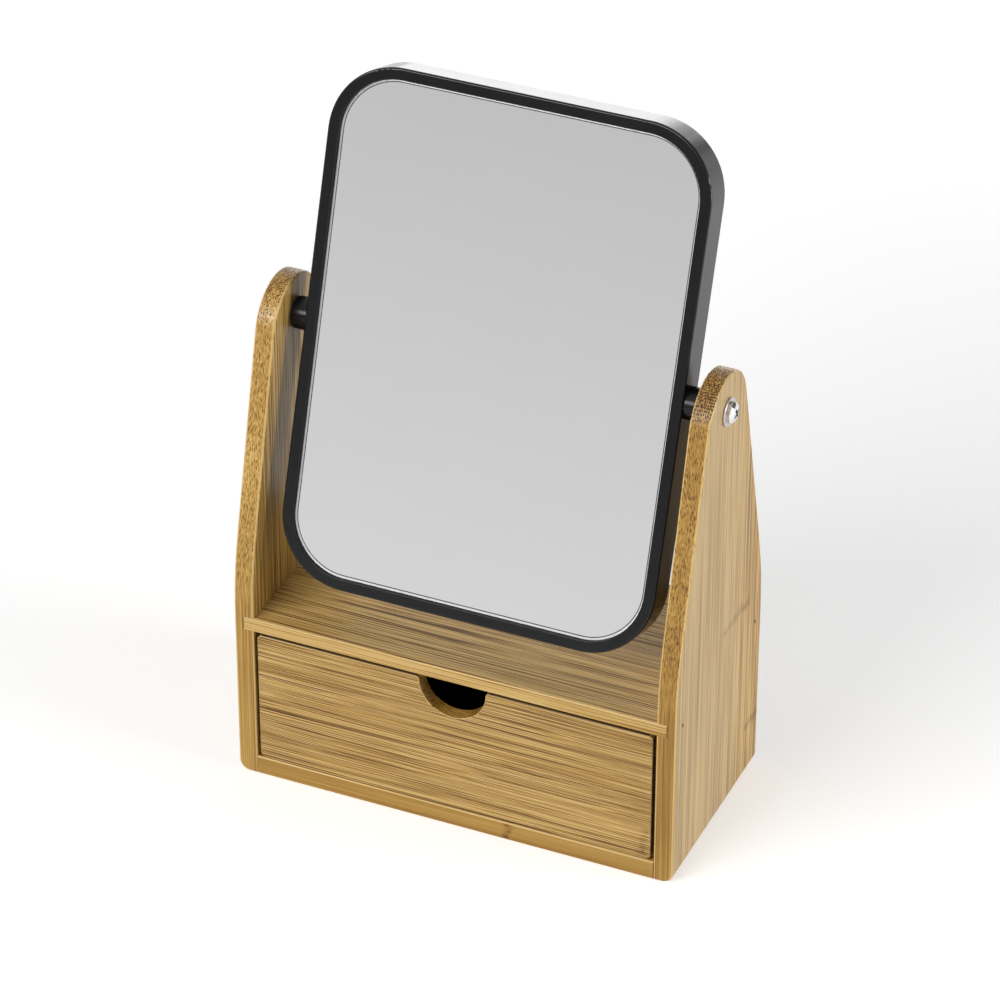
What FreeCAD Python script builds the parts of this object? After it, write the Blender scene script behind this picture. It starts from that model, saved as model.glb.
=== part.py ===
"""Bamboo vanity mirror with a drawer.

A stand of two tapered bamboo side panels carries a shelf, a base and a back board.
A drawer with a half-round finger notch slides between the base and the shelf.
A double-sided mirror in a black plastic frame swings between the tops of the panels
on two screws. Millimetres, +Z up, -Y to the front; the origin is on the table,
under the middle of the stand.
"""
import FreeCAD, Part
import math
import os

from FreeCAD import Vector

# ---------------------------------------------------------------- driving dimensions
# stand
stand_width = 200.0
stand_depth = 95.0
panel_thickness = 8.8
panel_crown = 16.5
panel_top_radius = 21.5
panel_taper_angle = 14.2
panel_shoulder_radius = 150.0
panel_foot_radius = 5.0
panel_arris_radius = 1.0
base_thickness = 9.0
board_arris_radius = 0.8
opening_height = 65.0
shelf_thickness = 6.0
shelf_housing_depth = 4.5
shelf_housing_end_gap = 0.3
back_thickness = 5.0
dowel_diameter = 5.0
dowel_panel_depth = 5.0
dowel_base_depth = 12.0
dowel_end_gap = 0.2
dowel_clearance = 0.03
dowel_spacing = 60.0

# drawer
drawer_side_gap = 1.3
drawer_floor_gap = 0.3
drawer_top_gap = 1.5
drawer_setback = 0.3
drawer_rear_gap = 2.0
drawer_front_thickness = 6.5
drawer_front_corner_radius = 3.0
drawer_front_arris_radius = 0.5
drawer_board_thickness = 6.0
drawer_rebate_depth = 4.0
drawer_side_drop = 4.0
drawer_bottom_thickness = 3.0
drawer_bottom_lift = 3.0
drawer_groove_depth = 2.5
drawer_groove_clearance = 0.1
notch_radius = 15.0
notch_centre_drop = 1.5
notch_lip_radius = 2.0

# mirror
mirror_side_gap = 7.7
mirror_shelf_gap = 13.5
mirror_height = 222.0
mirror_corner_radius = 30.0
core_thickness = 6.6
mirror_tilt = 18.0
frame_wall = 2.0
frame_lip_width = 5.0
frame_lip_thickness = 2.4
frame_edge_radius = 0.9
lip_edge_radius = 0.3
glass_thickness = 1.8
glass_clearance = 0.3
card_thickness = 0.5
bezel_fit_clearance = 0.05
bezel_leg_thickness = 1.2
bezel_leg_overlap = 0.5
core_clearance = 0.2
core_rim_width = 11.0
core_bar_width = 12.0

# pivots
screw_diameter = 4.0
screw_length = 30.0
screw_head_gap = 0.1
screw_head_diameter = 9.2
screw_head_height = 2.9
screw_recess_width = 1.1
screw_recess_span = 5.0
screw_recess_depth = 1.8
washer_diameter = 12.4
washer_thickness = 0.9
washer_edge_radius = 0.3
stub_diameter = 8.0
stub_running_clearance = 0.06
stub_end_gap = 0.3
screw_hole_clearance = 0.15
collar_diameter = 14.0
collar_edge_radius = 0.6
friction_ring_thickness = 0.8
friction_ring_gap = 0.1
insert_diameter = 5.4
insert_length = 8.0
thread_clearance = 0.03

# brads
brad_diameter = 1.0
brad_head_diameter = 1.7
brad_head_height = 0.5
brad_sink = 0.3
brad_hole_clearance = 0.04
panel_brad_length = 20.0
back_brad_length = 16.0
drawer_brad_length = 14.0
bottom_brad_length = 10.0
panel_brad_edge = 7.0
back_brad_inset = 21.2
bottom_brad_inset = 24.4

# ---------------------------------------------------------------- derived places
half_width = stand_width / 2
half_depth = stand_depth / 2
inner_half_width = half_width - panel_thickness
front_y = -half_depth
back_front_y = half_depth - back_thickness
shelf_bottom_z = base_thickness + opening_height
shelf_top_z = shelf_bottom_z + shelf_thickness
mirror_half_width = inner_half_width - mirror_side_gap
mirror_half_height = mirror_height / 2
pivot_z = shelf_top_z + mirror_shelf_gap + mirror_half_height
panel_top_z = pivot_z + panel_crown
panel_top_centre_z = panel_top_z - panel_top_radius

drawer_half_width = inner_half_width - drawer_side_gap
drawer_front_y = front_y + drawer_setback
drawer_inner_y = drawer_front_y + drawer_front_thickness
drawer_rear_y = back_front_y - drawer_rear_gap
drawer_bottom_z = base_thickness + drawer_floor_gap
drawer_front_top_z = shelf_bottom_z - drawer_top_gap
drawer_side_top_z = drawer_front_top_z - drawer_side_drop
drawer_floor_z = drawer_bottom_z + drawer_bottom_lift
drawer_floor_top_z = drawer_floor_z + drawer_bottom_thickness
drawer_inner_half_width = drawer_half_width - drawer_board_thickness

half_mirror_depth = core_thickness / 2 + card_thickness + glass_thickness + frame_lip_thickness
glass_offset = frame_wall + glass_clearance
front_glass_y = -half_mirror_depth + frame_lip_thickness
front_card_y = front_glass_y + glass_thickness
core_front_y = front_card_y + card_thickness
rear_glass_y = half_mirror_depth - frame_lip_thickness
rear_card_y = rear_glass_y - glass_thickness
core_rear_y = rear_card_y - card_thickness
bezel_outer_offset = frame_wall + bezel_fit_clearance
bezel_leg_inner_offset = bezel_outer_offset + bezel_leg_thickness
bezel_leg_end_y = core_rear_y - bezel_leg_overlap
core_outer_offset = frame_wall + core_clearance

ring_pocket = friction_ring_thickness + friction_ring_gap
collar_length = mirror_side_gap - ring_pocket
stub_length = ring_pocket + panel_thickness - stub_end_gap
screw_seat_x = half_width + washer_thickness + screw_head_gap
stub_hole_diameter = stub_diameter + 2 * stub_running_clearance
screw_hole_diameter = screw_diameter + 2 * screw_hole_clearance

# ---------------------------------------------------------------- small helpers


def block(x0, x1, y0, y1, z0, z1):
    """A box between two corners."""
    return Part.makeBox(x1 - x0, y1 - y0, z1 - z0, Vector(x0, y0, z0))


def rod(diameter, start, end):
    """A cylinder from one point to another."""
    axis = end - start
    return Part.makeCylinder(diameter / 2, axis.Length, start, axis)


def edges_where(shape, test):
    """The edges whose two ends and middle all pass a test."""
    found = []
    for edge in shape.Edges:
        first, last = edge.ParameterRange
        points = [edge.valueAt(p) for p in (first, (first + last) / 2, last)]
        if all(test(p) for p in points):
            found.append(edge)
    return found


def near(value, target, slack=0.01):
    return abs(value - target) < slack


def on_side(shape, side):
    """A piece made for the right, mirrored to the left where side is -1."""
    if side > 0:
        return shape
    return shape.mirror(Vector(0, 0, 0), Vector(1, 0, 0))


# ---------------------------------------------------------------- brads


def brad(head, direction, length):
    """A headed brad whose head's outer face is at a point."""
    step = direction * brad_head_height
    cap = rod(brad_head_diameter, head, head + step)
    shank = rod(brad_diameter, head + step, head + direction * length)
    return cap.fuse(shank).removeSplitter()


def brad_hole(head, direction, length):
    """The hole that a brad leaves, open to the surface above its head."""
    grow = 2 * brad_hole_clearance
    mouth = head - direction * (brad_sink + brad_hole_clearance)
    shoulder = head + direction * (brad_head_height + brad_hole_clearance)
    tip = head + direction * (length + brad_hole_clearance)
    well = rod(brad_head_diameter + grow, mouth, shoulder)
    return well.fuse(rod(brad_diameter + grow, head, tip))


def panel_brad_places():
    """Two brads through each side panel into the shelf's end."""
    z = (shelf_bottom_z + shelf_top_z) / 2
    for side in (-1, 1):
        for y in (-half_depth + panel_brad_edge, half_depth - panel_brad_edge):
            yield Vector(side * (half_width - brad_sink), y, z), Vector(-side, 0, 0)


def back_brad_places():
    """Brads through the back board into the base, and down through the shelf into it."""
    y = half_depth - back_thickness / 2
    reach = inner_half_width - back_brad_inset
    for x in (-reach, 0, reach):
        yield Vector(x, half_depth - brad_sink, base_thickness / 2), Vector(0, -1, 0)
        yield Vector(x, y, shelf_top_z - brad_sink), Vector(0, 0, -1)


def drawer_brad_places():
    """Two brads through each drawer side into the front and two into the back."""
    front_joint_y = drawer_inner_y - drawer_rebate_depth / 2
    back_joint_y = drawer_rear_y - drawer_board_thickness / 2
    low = drawer_floor_top_z + drawer_board_thickness
    high = drawer_side_top_z - drawer_board_thickness
    for side in (-1, 1):
        for y in (front_joint_y, back_joint_y):
            for z in (low, high):
                yield Vector(side * (drawer_half_width - brad_sink), y, z), Vector(-side, 0, 0)


def bottom_brad_places():
    """Three brads up through the drawer bottom into the drawer back."""
    y = drawer_rear_y - drawer_board_thickness / 2
    reach = drawer_inner_half_width - bottom_brad_inset
    for x in (-reach, 0, reach):
        yield Vector(x, y, drawer_floor_z + brad_sink), Vector(0, 0, 1)


def brads(places, length):
    """One group of separate brads."""
    return Part.makeCompound([brad(head, way, length) for head, way in places])


def drilled(shape, places, length):
    """A board with the holes of its brads."""
    return shape.cut([brad_hole(head, way, length) for head, way in places])


# ---------------------------------------------------------------- dowels


def dowels(grow, end_gap):
    """The four dowels between base and panels, or their holes when grown."""
    pegs = []
    for side in (-1, 1):
        for y in (-dowel_spacing / 2, dowel_spacing / 2):
            z = base_thickness / 2
            inner = Vector(side * (inner_half_width - dowel_base_depth + end_gap), y, z)
            outer = Vector(side * (inner_half_width + dowel_panel_depth - end_gap), y, z)
            pegs.append(rod(dowel_diameter + grow, inner, outer))
    return pegs


# ---------------------------------------------------------------- stand


def panel_outline():
    """The side view of a panel: upright foot, shoulder arc, straight taper, round top."""
    angle = math.radians(panel_taper_angle)
    shoulder_y = half_depth - panel_shoulder_radius
    rise = shoulder_y * math.cos(angle) + panel_shoulder_radius - panel_top_radius
    shoulder_z = panel_top_centre_z - rise / math.sin(angle)

    def shoulder(side, share):
        turn = angle * share
        y = shoulder_y + panel_shoulder_radius * math.cos(turn)
        return Vector(0, side * y, shoulder_z + panel_shoulder_radius * math.sin(turn))

    def crown(side):
        y = panel_top_radius * math.cos(angle)
        return Vector(0, side * y, panel_top_centre_z + panel_top_radius * math.sin(angle))

    edges = [
        Part.LineSegment(Vector(0, -half_depth, 0), Vector(0, half_depth, 0)),
        Part.LineSegment(Vector(0, half_depth, 0), shoulder(1, 0)),
        Part.Arc(shoulder(1, 0), shoulder(1, 0.5), shoulder(1, 1)),
        Part.LineSegment(shoulder(1, 1), crown(1)),
        Part.Arc(crown(1), Vector(0, 0, panel_top_z), crown(-1)),
        Part.LineSegment(crown(-1), shoulder(-1, 1)),
        Part.Arc(shoulder(-1, 1), shoulder(-1, 0.5), shoulder(-1, 0)),
        Part.LineSegment(shoulder(-1, 0), Vector(0, -half_depth, 0)),
    ]
    return Part.Wire([edge.toShape() for edge in edges])


def side_panel(side):
    """A side panel, with a housing for the shelf, the pivot hole and brad holes."""
    outline = panel_outline()
    outline.translate(Vector(inner_half_width, 0, 0))
    panel = Part.Face(outline).extrude(Vector(panel_thickness, 0, 0))
    foot = edges_where(panel, lambda p: near(p.x, half_width) and near(p.z, 0))
    panel = panel.makeFillet(panel_foot_radius, foot)
    outer = edges_where(panel, lambda p: near(p.x, half_width) and p.z > panel_foot_radius + 0.1)
    panel = panel.makeFillet(panel_arris_radius, outer)
    inner = edges_where(panel, lambda p: near(p.x, inner_half_width) and not near(p.z, 0))
    panel = panel.makeFillet(panel_arris_radius, inner)
    housing = block(
        inner_half_width - 1, inner_half_width + shelf_housing_depth + shelf_housing_end_gap,
        -half_depth - 1, half_depth + 1, shelf_bottom_z, shelf_top_z,
    )
    pivot_hole = rod(
        stub_hole_diameter,
        Vector(inner_half_width - 1, 0, pivot_z),
        Vector(half_width + 1, 0, pivot_z),
    )
    panel = on_side(panel.cut([housing, pivot_hole]), side)
    panel = panel.cut(dowels(2 * dowel_clearance, 0))
    return drilled(panel, panel_brad_places(), panel_brad_length)


def shelf_board():
    """The shelf: full width between the panels and housed in them at both ends."""
    reach = inner_half_width + shelf_housing_depth
    shelf = block(-reach, reach, front_y, half_depth, shelf_bottom_z, shelf_top_z)
    arrises = edges_where(shelf, lambda p: near(abs(p.y), half_depth) and near(p.z, shelf_top_z))
    shelf = shelf.makeFillet(board_arris_radius, arrises)
    shelf = drilled(shelf, panel_brad_places(), panel_brad_length)
    return drilled(shelf, back_brad_places(), back_brad_length)


def base_board():
    """The base, flush with the panels' feet."""
    base = block(-inner_half_width, inner_half_width, front_y, back_front_y, 0, base_thickness)
    arrises = edges_where(base, lambda p: near(p.y, front_y)
                          and (near(p.z, 0) or near(p.z, base_thickness)))
    base = base.makeFillet(board_arris_radius, arrises)
    base = base.cut(dowels(2 * dowel_clearance, 0))
    return drilled(base, back_brad_places(), back_brad_length)


def back_board():
    """The board that closes the drawer's space behind."""
    back = block(
        -inner_half_width, inner_half_width, back_front_y, half_depth, 0, shelf_bottom_z
    )
    return drilled(back, back_brad_places(), back_brad_length)


# ---------------------------------------------------------------- drawer


def finger_notch():
    """A half-round notch in the drawer front's top edge, with rounded lips."""
    top = drawer_front_top_z
    centre_z = top - notch_centre_drop
    y0 = drawer_front_y - 1
    y1 = drawer_inner_y + 1
    bowl = Part.makeCylinder(notch_radius, y1 - y0, Vector(0, y0, centre_z), Vector(0, 1, 0))
    mouth = block(-notch_radius, notch_radius, y0, y1, centre_z, top + 1)
    lip_half = notch_radius + notch_lip_radius
    lips = block(-lip_half, lip_half, y0, y1, top - notch_lip_radius, top + 1)
    for side in (-1, 1):
        lip = Part.makeCylinder(
            notch_lip_radius, y1 - y0,
            Vector(side * lip_half, y0, top - notch_lip_radius), Vector(0, 1, 0),
        )
        lips = lips.cut(lip)
    return bowl.fuse([mouth, lips])


def drawer_front():
    """The drawer's front board: rebated at both ends and grooved for the bottom."""
    front = block(
        -drawer_half_width, drawer_half_width, drawer_front_y, drawer_inner_y,
        drawer_bottom_z, drawer_front_top_z,
    )
    ends = (drawer_bottom_z, drawer_front_top_z)
    corners = edges_where(front, lambda p: near(abs(p.x), drawer_half_width)
                          and min(abs(p.z - z) for z in ends) < 0.01)
    front = front.makeFillet(drawer_front_corner_radius, corners)
    front = front.cut(finger_notch())
    rim = edges_where(front, lambda p: near(p.y, drawer_front_y))
    front = front.makeFillet(drawer_front_arris_radius, rim)
    cuts = [drawer_bottom_groove()]
    rebate = block(
        drawer_inner_half_width, drawer_half_width + 1,
        drawer_inner_y - drawer_rebate_depth, drawer_inner_y + 1,
        drawer_bottom_z - 1, drawer_front_top_z + 1,
    )
    cuts += [rebate, on_side(rebate, -1)]
    return drilled(front.cut(cuts), drawer_brad_places(), drawer_brad_length)


def drawer_bottom_groove():
    """The space of the drawer bottom, let into the front and both sides."""
    half = drawer_inner_half_width + drawer_groove_depth + drawer_groove_clearance
    return block(
        -half, half, drawer_inner_y - drawer_groove_depth - drawer_groove_clearance,
        drawer_rear_y + 1, drawer_floor_z - drawer_groove_clearance / 2,
        drawer_floor_top_z + drawer_groove_clearance / 2,
    )


def drawer_side(side):
    """A drawer side, let into the front's rebate."""
    board = block(
        drawer_inner_half_width, drawer_half_width, drawer_inner_y - drawer_rebate_depth,
        drawer_rear_y, drawer_bottom_z, drawer_side_top_z,
    )
    long_edges = edges_where(board, lambda p: near(p.z, drawer_side_top_z) and (
        near(p.x, drawer_inner_half_width) or near(p.x, drawer_half_width)))
    board = board.makeFillet(drawer_front_arris_radius, long_edges)
    board = on_side(board.cut(drawer_bottom_groove()), side)
    return drilled(board, drawer_brad_places(), drawer_brad_length)


def drawer_back():
    """The drawer's back board, standing on the bottom between the sides."""
    board = block(
        -drawer_inner_half_width, drawer_inner_half_width,
        drawer_rear_y - drawer_board_thickness, drawer_rear_y,
        drawer_floor_top_z + drawer_groove_clearance / 2, drawer_side_top_z,
    )
    board = drilled(board, drawer_brad_places(), drawer_brad_length)
    return drilled(board, bottom_brad_places(), bottom_brad_length)


def drawer_bottom():
    """The thin drawer bottom in its grooves."""
    half = drawer_inner_half_width + drawer_groove_depth
    board = block(
        -half, half, drawer_inner_y - drawer_groove_depth, drawer_rear_y,
        drawer_floor_z, drawer_floor_top_z,
    )
    return drilled(board, bottom_brad_places(), bottom_brad_length)


# ---------------------------------------------------------------- mirror


def mirror_wire(offset, y):
    """The mirror's rounded outline, moved in by an offset, at a depth."""
    x = mirror_half_width - offset
    z = mirror_half_height - offset
    r = mirror_corner_radius - offset
    slant = r * (1 - math.sqrt(0.5))
    edges = []
    for sx, sz in ((1, 1), (-1, 1), (-1, -1), (1, -1)):
        corner = [Vector(sx * x, y, sz * (z - r)),
                  Vector(sx * (x - slant), y, sz * (z - slant)),
                  Vector(sx * (x - r), y, sz * z)]
        if sx * sz < 0:
            corner.reverse()
        edges.append(Part.Arc(*corner).toShape())
    starts = [edge.valueAt(edge.ParameterRange[0]) for edge in edges]
    ends = [edge.valueAt(edge.ParameterRange[1]) for edge in edges]
    loop = []
    for number, edge in enumerate(edges):
        following = (number + 1) % len(edges)
        loop += [edge, Part.LineSegment(ends[number], starts[following]).toShape()]
    return Part.Wire(loop)


def mirror_plate(offset, y0, y1):
    """A plate of the mirror's outline."""
    return Part.Face(mirror_wire(offset, y0)).extrude(Vector(0, y1 - y0, 0))


def mirror_ring(outer_offset, inner_offset, y0, y1):
    """A ring of the mirror's outline."""
    return mirror_plate(outer_offset, y0, y1).cut(mirror_plate(inner_offset, y0 - 1, y1 + 1))


def hung(shape):
    """A mirror piece drawn upright about the pivot, tilted back and lifted to it."""
    placed = shape.copy()
    placed.rotate(Vector(0, 0, 0), Vector(1, 0, 0), -mirror_tilt)
    placed.translate(Vector(0, 0, pivot_z))
    return placed


def pivot_drill(diameter, inner_x, outer_x):
    """A bore along both pivots."""
    right = rod(diameter, Vector(inner_x, 0, 0), Vector(outer_x, 0, 0))
    return right.fuse(on_side(right, -1))


def mirror_frame():
    """The black frame: one wall all round with a lip in front of the glass."""
    body = mirror_plate(0, -half_mirror_depth, half_mirror_depth)
    rims = edges_where(body, lambda p: near(abs(p.y), half_mirror_depth))
    body = body.makeFillet(frame_edge_radius, rims)
    cavity = mirror_plate(frame_wall, front_glass_y, half_mirror_depth + 1)
    window = mirror_plate(frame_lip_width, -half_mirror_depth - 1, front_glass_y + 1)
    body = body.cut([cavity, window])
    lip = edges_where(body, lambda p: near(p.y, -half_mirror_depth)
                      and abs(p.x) < mirror_half_width - frame_lip_width + 0.1
                      and abs(p.z) < mirror_half_height - frame_lip_width + 0.1)
    body = body.makeFillet(lip_edge_radius, lip)
    inner_x = mirror_half_width - frame_wall - 1
    return hung(body.cut(pivot_drill(screw_hole_diameter, inner_x, mirror_half_width + 1)))


def rear_bezel():
    """The ring pressed into the frame from behind, which holds the rear glass."""
    flange = mirror_ring(bezel_outer_offset, frame_lip_width, rear_glass_y, half_mirror_depth)
    lip = edges_where(flange, lambda p: near(p.y, half_mirror_depth)
                      and abs(p.x) < mirror_half_width - frame_lip_width + 0.1
                      and abs(p.z) < mirror_half_height - frame_lip_width + 0.1)
    flange = flange.makeFillet(lip_edge_radius, lip)
    leg = mirror_ring(bezel_outer_offset, bezel_leg_inner_offset, bezel_leg_end_y, rear_glass_y)
    return hung(flange.fuse(leg).removeSplitter())


def front_glass():
    return hung(mirror_plate(glass_offset, front_glass_y, front_card_y))


def rear_glass():
    offset = bezel_leg_inner_offset + glass_clearance
    return hung(mirror_plate(offset, rear_card_y, rear_glass_y))


def front_card():
    return hung(mirror_plate(glass_offset, front_card_y, core_front_y))


def rear_card():
    offset = bezel_leg_inner_offset + glass_clearance
    return hung(mirror_plate(offset, core_rear_y, rear_card_y))


def core_frame():
    """The grey frame between the two glasses, which holds the threaded inserts."""
    rim = mirror_ring(core_outer_offset, core_rim_width, core_front_y, bezel_leg_end_y)
    step = mirror_ring(
        bezel_leg_inner_offset + glass_clearance, core_rim_width, bezel_leg_end_y, core_rear_y
    )
    reach_x = mirror_half_width - core_rim_width + 1
    reach_z = mirror_half_height - core_rim_width + 1
    half_bar = core_bar_width / 2
    cross = block(-reach_x, reach_x, core_front_y, core_rear_y, -half_bar, half_bar)
    upright = block(-half_bar, half_bar, core_front_y, core_rear_y, -reach_z, reach_z)
    body = rim.fuse([step, cross, upright]).removeSplitter()
    outer_x = mirror_half_width - core_outer_offset
    pocket = pivot_drill(insert_diameter, outer_x - insert_length, outer_x + 1)
    tail = pivot_drill(screw_hole_diameter, screw_seat_x - screw_length - 1, outer_x)
    return hung(body.cut([pocket, tail]))


# ---------------------------------------------------------------- pivots


def threaded_insert(side):
    """A brass insert in the core frame."""
    outer_x = mirror_half_width - core_outer_offset
    inner_x = outer_x - insert_length
    sleeve = rod(insert_diameter, Vector(inner_x, 0, 0), Vector(outer_x, 0, 0))
    bore = rod(screw_diameter + 2 * thread_clearance,
               Vector(inner_x - 1, 0, 0), Vector(outer_x + 1, 0, 0))
    return hung(on_side(sleeve.cut(bore), side))


def pivot_spacer(side):
    """A black collar beside the frame, with a stub that turns in the panel."""
    start = mirror_half_width
    seat = start + collar_length
    collar = rod(collar_diameter, Vector(start, 0, 0), Vector(seat, 0, 0))
    rim = edges_where(collar, lambda p: near(p.x, seat))
    collar = collar.makeFillet(collar_edge_radius, rim)
    stub = rod(stub_diameter, Vector(seat - 1, 0, 0), Vector(seat + stub_length, 0, 0))
    body = collar.fuse(stub).removeSplitter()
    bore = rod(screw_hole_diameter,
               Vector(start - 1, 0, 0), Vector(seat + stub_length + 1, 0, 0))
    return hung(on_side(body.cut(bore), side))


def friction_ring(side):
    """A thin rubber ring squeezed between collar and panel, which holds the tilt."""
    start = inner_half_width - ring_pocket
    ring = rod(collar_diameter - 2 * collar_edge_radius,
               Vector(start, 0, 0), Vector(start + friction_ring_thickness, 0, 0))
    bore = rod(stub_hole_diameter, Vector(start - 1, 0, 0), Vector(inner_half_width + 1, 0, 0))
    return hung(on_side(ring.cut(bore), side))


def pivot_washer(side):
    """A thin plated steel washer on the panel's outer face."""
    outer = half_width + washer_thickness
    disc = rod(washer_diameter, Vector(half_width, 0, 0), Vector(outer, 0, 0))
    disc = disc.makeFillet(washer_edge_radius, edges_where(disc, lambda p: near(p.x, outer)))
    bore = rod(screw_hole_diameter, Vector(half_width - 1, 0, 0), Vector(outer + 1, 0, 0))
    washer = on_side(disc.cut(bore), side)
    washer.translate(Vector(0, 0, pivot_z))
    return washer


def pivot_screw(side):
    """A pan-head machine screw with a cross recess."""
    under = screw_seat_x
    radius = screw_head_diameter / 2
    top = under + screw_head_height
    shoulder = screw_head_height * 0.45
    profile = [
        Part.LineSegment(Vector(under, 0, 0), Vector(under, radius, 0)).toShape(),
        Part.LineSegment(Vector(under, radius, 0), Vector(under + shoulder, radius, 0)).toShape(),
        Part.Arc(Vector(under + shoulder, radius, 0),
                 Vector(top - screw_head_height * 0.17, radius * 0.73, 0),
                 Vector(top, radius * 0.3, 0)).toShape(),
        Part.LineSegment(Vector(top, radius * 0.3, 0), Vector(top, 0, 0)).toShape(),
        Part.LineSegment(Vector(top, 0, 0), Vector(under, 0, 0)).toShape(),
    ]
    head = Part.Face(Part.Wire(profile)).revolve(Vector(0, 0, 0), Vector(1, 0, 0), 360)
    half_span = screw_recess_span / 2
    half_slot = screw_recess_width / 2
    floor = top - screw_recess_depth
    recess = [block(floor, top + 1, -half_span, half_span, -half_slot, half_slot),
              block(floor, top + 1, -half_slot, half_slot, -half_span, half_span)]
    shank = rod(screw_diameter, Vector(under - screw_length, 0, 0), Vector(under, 0, 0))
    screw = head.fuse(shank).removeSplitter().cut(recess)
    return hung(on_side(screw, side))


# ---------------------------------------------------------------- write the nodes

nodes = {
    "side_panel_left": side_panel(-1),
    "side_panel_right": side_panel(1),
    "shelf_board": shelf_board(),
    "base_board": base_board(),
    "back_board": back_board(),
    "base_dowels": Part.makeCompound(dowels(0, dowel_end_gap)),
    "panel_brads": brads(panel_brad_places(), panel_brad_length),
    "back_brads": brads(back_brad_places(), back_brad_length),
    "drawer_front": drawer_front(),
    "drawer_side_left": drawer_side(-1),
    "drawer_side_right": drawer_side(1),
    "drawer_back": drawer_back(),
    "drawer_bottom": drawer_bottom(),
    "drawer_brads": brads(drawer_brad_places(), drawer_brad_length),
    "drawer_bottom_brads": brads(bottom_brad_places(), bottom_brad_length),
    "mirror_frame": mirror_frame(),
    "rear_bezel": rear_bezel(),
    "front_glass": front_glass(),
    "rear_glass": rear_glass(),
    "front_backing_card": front_card(),
    "rear_backing_card": rear_card(),
    "core_frame": core_frame(),
}
for name, side in (("left", -1), ("right", 1)):
    nodes["threaded_insert_" + name] = threaded_insert(side)
    nodes["pivot_spacer_" + name] = pivot_spacer(side)
    nodes["friction_ring_" + name] = friction_ring(side)
    nodes["pivot_washer_" + name] = pivot_washer(side)
    nodes["pivot_screw_" + name] = pivot_screw(side)

os.makedirs("parts", exist_ok=True)
for name, shape in nodes.items():
    shape.exportStep("parts/" + name + ".step")
    print(name, len(shape.Solids), "solid(s)", round(shape.Volume), "mm3", shape.isValid())
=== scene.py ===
import math

import bmesh
import bpy
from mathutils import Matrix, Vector


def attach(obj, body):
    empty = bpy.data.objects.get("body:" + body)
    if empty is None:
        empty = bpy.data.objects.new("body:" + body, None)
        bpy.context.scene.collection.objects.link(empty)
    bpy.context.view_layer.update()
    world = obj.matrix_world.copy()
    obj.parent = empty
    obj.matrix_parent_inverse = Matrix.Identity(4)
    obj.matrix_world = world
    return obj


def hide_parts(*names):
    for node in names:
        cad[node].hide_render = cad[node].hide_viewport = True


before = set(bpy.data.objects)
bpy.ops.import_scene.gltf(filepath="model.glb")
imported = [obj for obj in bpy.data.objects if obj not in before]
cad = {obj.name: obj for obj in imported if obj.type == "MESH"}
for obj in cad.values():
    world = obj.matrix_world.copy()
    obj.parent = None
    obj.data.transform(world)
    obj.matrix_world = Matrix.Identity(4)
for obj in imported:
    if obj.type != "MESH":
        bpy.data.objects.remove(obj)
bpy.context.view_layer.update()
bpy.ops.object.select_all(action="DESELECT")

# ---------------------------------------------------------------- camera
# A long lens looks down at the stand from its front right, without any shift.
# The whole object fills the square picture and leaves a narrow white margin.
azimuth = math.radians(23.739)
elevation = math.radians(33.371)
roll = math.radians(0.103)
aim = Vector((0.00078, 0.0, 0.13587))
camera_distance = 1.96088
toward_camera = Vector((
    math.sin(azimuth) * math.cos(elevation),
    -math.cos(azimuth) * math.cos(elevation),
    math.sin(elevation),
))
bpy.ops.object.camera_add(location=aim + toward_camera * camera_distance)
camera = bpy.context.object
camera.name = "camera"
camera.rotation_euler = toward_camera.to_track_quat("Z", "Y").to_euler()
camera.rotation_euler.rotate_axis("Z", roll)
camera.data.sensor_width = 36.0
camera.data.lens = 170.72
camera.data.clip_end = 100.0
bpy.context.scene.camera = camera

# ---------------------------------------------------------------- floor and light
# A round white floor lies in an even white room, whose front wall is pale grey, with
# a dark screen behind right for bright metal to show. A large soft lamp stands front
# left, a weaker one right, and a low strip behind.


def blank_tree(owner):
    """Give a material or a world a node tree with nothing in it yet."""
    owner.use_nodes = True
    owner.node_tree.nodes.clear()
    return owner.node_tree


def step(tree, kind, inputs=None, **options):
    """Add one step to a finish, set its options and fill or plug its inputs."""
    new_step = tree.nodes.new("ShaderNode" + kind)
    for option, value in options.items():
        setattr(new_step, option, value)
    for socket, value in (inputs or {}).items():
        if isinstance(value, bpy.types.NodeSocket):
            tree.links.new(value, new_step.inputs[socket])
        else:
            new_step.inputs[socket].default_value = value
    return new_step


def sum_up(tree, operation, *values):
    """One step of arithmetic on plain numbers or on other steps' outputs."""
    return step(tree, "Math", dict(enumerate(values)), operation=operation).outputs[0]


def plus(tree, first, second):
    return sum_up(tree, "ADD", first, second)


def minus(tree, first, second):
    return sum_up(tree, "SUBTRACT", first, second)


def times(tree, first, second):
    return sum_up(tree, "MULTIPLY", first, second)


def larger(tree, first, second):
    return sum_up(tree, "MAXIMUM", first, second)


def size_of(tree, value):
    return sum_up(tree, "ABSOLUTE", value)


def blend(tree, share, first, second):
    """Go from one value to another, by a share from 0 to 1."""
    return plus(tree, first, times(tree, share, minus(tree, second, first)))


def slide(tree, value, start, end, low=0.0, high=1.0, soft=True):
    """Turn start..end of a value into low..high, held level beyond both ends."""
    return step(
        tree, "MapRange", {0: value, 1: start, 2: end, 3: low, 4: high},
        interpolation_type="SMOOTHSTEP" if soft else "LINEAR", clamp=True,
    ).outputs[0]


floor_radius = 2.2
floor_white = (0.80, 0.80, 0.80, 1)
near_lift, near = 0.42, 0.20     # lifts the seen floor to the backdrop's white,
far_lift, far = 0.60, 1.0        # more of it a metre off,
rim_lift, rim = 0.85, 1.6        # and most at its rim, so that no horizon shows

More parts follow.
